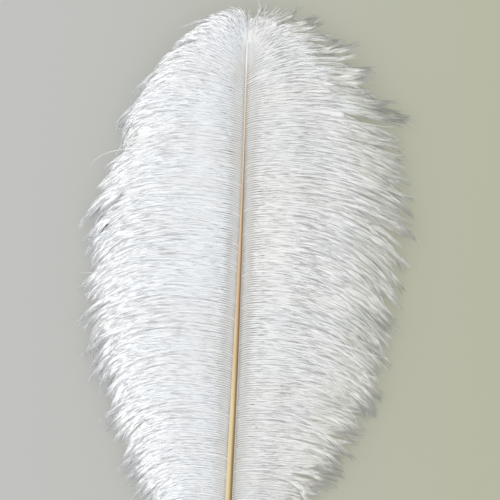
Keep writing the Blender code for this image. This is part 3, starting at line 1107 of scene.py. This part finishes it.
def stage_material(name, left, right):
    """A matt floor that turns from one colour to another from left to right.

    A part of its brightness is its own, so that the feather's shadow on it stays soft.
    """
    made, tree, shader = principled(name)
    place = add_node(tree, "TexCoord")
    parts = add_node(tree, "SeparateXYZ")
    tree.links.new(place.outputs["Object"], parts.inputs[0])
    share = ramp(tree, parts.outputs[0], low=-FLOOR_TURNS_AT, high=FLOOR_TURNS_AT)
    tone = blend(tree, share, (*left, 1), (*right, 1))
    tree.links.new(tone, shader.inputs["Emission Color"])
    shader.inputs["Emission Strength"].default_value = FLOOR_GLOW
    tree.links.new(blend(tree, FLOOR_SHARE, BLACK, tone), shader.inputs["Base Color"])
    shader.inputs["Roughness"].default_value = 0.9
    return made


# Stage


def add_floor():
    """A square floor at height 0, which the camera never sees the edge of."""
    size = FLOOR_HALF
    corners = [(-size, -size, 0), (size, -size, 0), (size, size, 0), (-size, size, 0)]
    mesh = bpy.data.meshes.new("floor")
    mesh.from_pydata(corners, [], [(0, 1, 2, 3)])
    floor = bpy.data.objects.new("floor", mesh)
    bpy.context.scene.collection.objects.link(floor)
    finish = stage_material("pale_floor", FLOOR_LEFT, FLOOR_RIGHT)
    floor.data.materials.append(finish)


def add_light(name, place, target, size, power, colour):
    """A square area light at a place, turned to face its target."""
    data = bpy.data.lights.new(name, "AREA")
    data.size = size
    data.energy = power
    data.color = colour
    light = bpy.data.objects.new(name, data)
    bpy.context.scene.collection.objects.link(light)
    light.location = place
    direction = np.array(target) - np.array(place)
    light.rotation_euler = Vector(direction).to_track_quat("-Z", "Y").to_euler()


def add_world(colour, strength):
    """An even light of one colour from all round."""
    world = bpy.data.worlds.new("studio")
    world.use_nodes = True
    background = world.node_tree.nodes["Background"]
    background.inputs["Color"].default_value = (*colour, 1)
    background.inputs["Strength"].default_value = strength
    bpy.context.scene.world = world


def add_camera(shift):
    """A long lens over the feather: the sensor's width times distance over view width."""
    data = bpy.data.cameras.new("camera")
    data.sensor_width = SENSOR_WIDTH
    data.lens = data.sensor_width * CAMERA_DISTANCE / VIEW_WIDTH
    data.clip_start, data.clip_end = 0.05, 20
    camera = bpy.data.objects.new("camera", data)
    bpy.context.scene.collection.objects.link(camera)
    camera.location = (
        VIEW_CENTRE[0] + shift[0],
        VIEW_CENTRE[1] + shift[1],
        VIEW_HEIGHT + CAMERA_DISTANCE,
    )
    camera.rotation_euler = (0, 0, VIEW_ROLL)
    bpy.context.scene.camera = camera


def quill_shift(node):
    """Where the solid's quill end is, less where its own line starts."""
    points = np.empty(len(node.data.vertices) * 3, np.float32)
    node.data.vertices.foreach_get("co", points)
    points = points.reshape(-1, 3).astype(float)
    ring = points[points[:, 1] < points[:, 1].min() + QUILL_END_DEPTH]
    middle = (ring.min(axis=0) + ring.max(axis=0)) / 2
    return middle - np.array([0.0, 0.0, QUILL_HEIGHT])


def barb_piece(name, lines, lengths, wide_share, per_metre, shift):
    """One mesh of barbs with their barbules; each barb's chance is in its map."""
    frames = barb_frames(lines)
    tube_points, tube_faces, tube_share, each = rami(lines, frames)
    leaf_points, leaf_faces, leaf_share, barb = barbules(
        lines, frames, lengths, wide_share, per_metre
    )
    points = np.concatenate([tube_points, leaf_points]) + shift
    faces = np.concatenate([tube_faces, leaf_faces + len(tube_points)])
    chance = rng.random(len(lines))
    shares = np.concatenate([tube_share, leaf_share])
    chances = np.concatenate([np.repeat(chance, each), chance[barb]])
    return make_mesh(name, above_floor(points), faces, np.stack([shares, chances], axis=1))


def stray_piece(name, side, shift):
    """One mesh of the stray hairs of one side."""
    lines = stray_lines(side)
    points, faces, shares, each = rami(lines, barb_frames(lines), STRAY_THICKNESS)
    pairs = np.stack([shares, np.repeat(rng.random(STRAYS), each)], axis=1)
    return make_mesh(name, above_floor(points + shift), faces, pairs)


def add_plume(groups, shift):
    """Each side's barbs in three pieces of equal length in all, its web and its strays.

    The barbules take what triangles the barbs' own rings leave over.
    """
    # The left barbs' material is painted as the side in light, the right barbs' as the side in
    # shade
    whites = {
        side: plume_material(
            name, groups, PLUME_TONES_AND_PAINTED_LIGHT[side], PLUME_TINT[side], PLUME_TINT_SHARE, PLUME_STREAKS[side]
        )
        for side, name in ((LEFT, "plume_cool_lit_white"), (RIGHT, "plume_warm_shaded_white"))
    }
    # The web's material holds painted shade at its root and at its outer end
    down = plume_material(
        "plume_down_and_painted_shade", groups, DOWN_TONES_AND_PAINTED_SHADE, DOWN_TINT, SOFT_TINT_SHARE, DOWN_STREAKS, DOWN_FINENESS
    )
    # The strays' material is whiter than the barbs' as a painted highlight
    hair = plume_material(
        "plume_hair_painted_lit", groups, HAIR_PAINTED_LIT_TONES, HAIR_TINT, SOFT_TINT_SHARE, HAIR_STREAKS
    )
    sides = {}
    for side in (LEFT, RIGHT):
        both = [np.concatenate(pair) for pair in zip(vane_lines(side), under_lines(side))]
        order = np.argsort(both[1])
        sides[side] = [part[order] for part in both]
    total = sum(barb_length(side, sides[side][1]).sum() for side in sides)
    barbs = sum(len(sides[side][1]) for side in sides)
    left_over = TRIANGLES_IN_ALL - barbs * RING_TRIANGLES * RAMUS_ROWS
    per_metre = left_over / SLIVER_TRIANGLES / total
    for side, side_name in ((LEFT, "left"), (RIGHT, "right")):
        lines, u, wide_share = sides[side]
        lengths = barb_length(side, u)
        share = np.cumsum(lengths) / lengths.sum()
        for number, part in enumerate(("base", "middle", "head")):
            own = (share > number / 3) & (share <= (number + 1) / 3 + 1e-9)
            name = f"{side_name}_{part}_barbs"
            mesh = barb_piece(name, lines[own], lengths[own], wide_share[own], per_metre, shift)
            add_piece(name, mesh, whites[side])
        name = f"{side_name}_web"
        add_piece(name, web_mesh(name, side, shift), down)
        name = f"{side_name}_strays"
        add_piece(name, stray_piece(name, side, shift), hair)


def main():
    """The feather in place of its solid, then the floor, the lights and the camera."""
    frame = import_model()
    shift = quill_shift(frame["nodes"]["feather"])
    groups = {
        "three_tones": three_tones_group(),
        "fine_streaks": streaks_group(),
        "soft_patches": patches_group(),
    }
    add_piece("shaft", shaft_mesh(shift), shaft_material(groups))
    add_plume(groups, shift)
    add_floor()
    add_light(
        "key", place=(-1.6, 0.40, 1.3), target=(0, 0.05, 0), size=3.0, power=25.0,
        colour=(1.0, 0.995, 0.99),
    )
    add_light(
        "fill", place=(1.2, -0.1, 1.5), target=(0, 0.05, 0), size=2.4, power=9.0,
        colour=(0.98, 0.99, 1.0),
    )
    add_world(colour=(0.94, 0.95, 0.96), strength=0.85)
    add_camera(shift)
    bpy.context.scene.view_settings.view_transform = "Standard"


main()
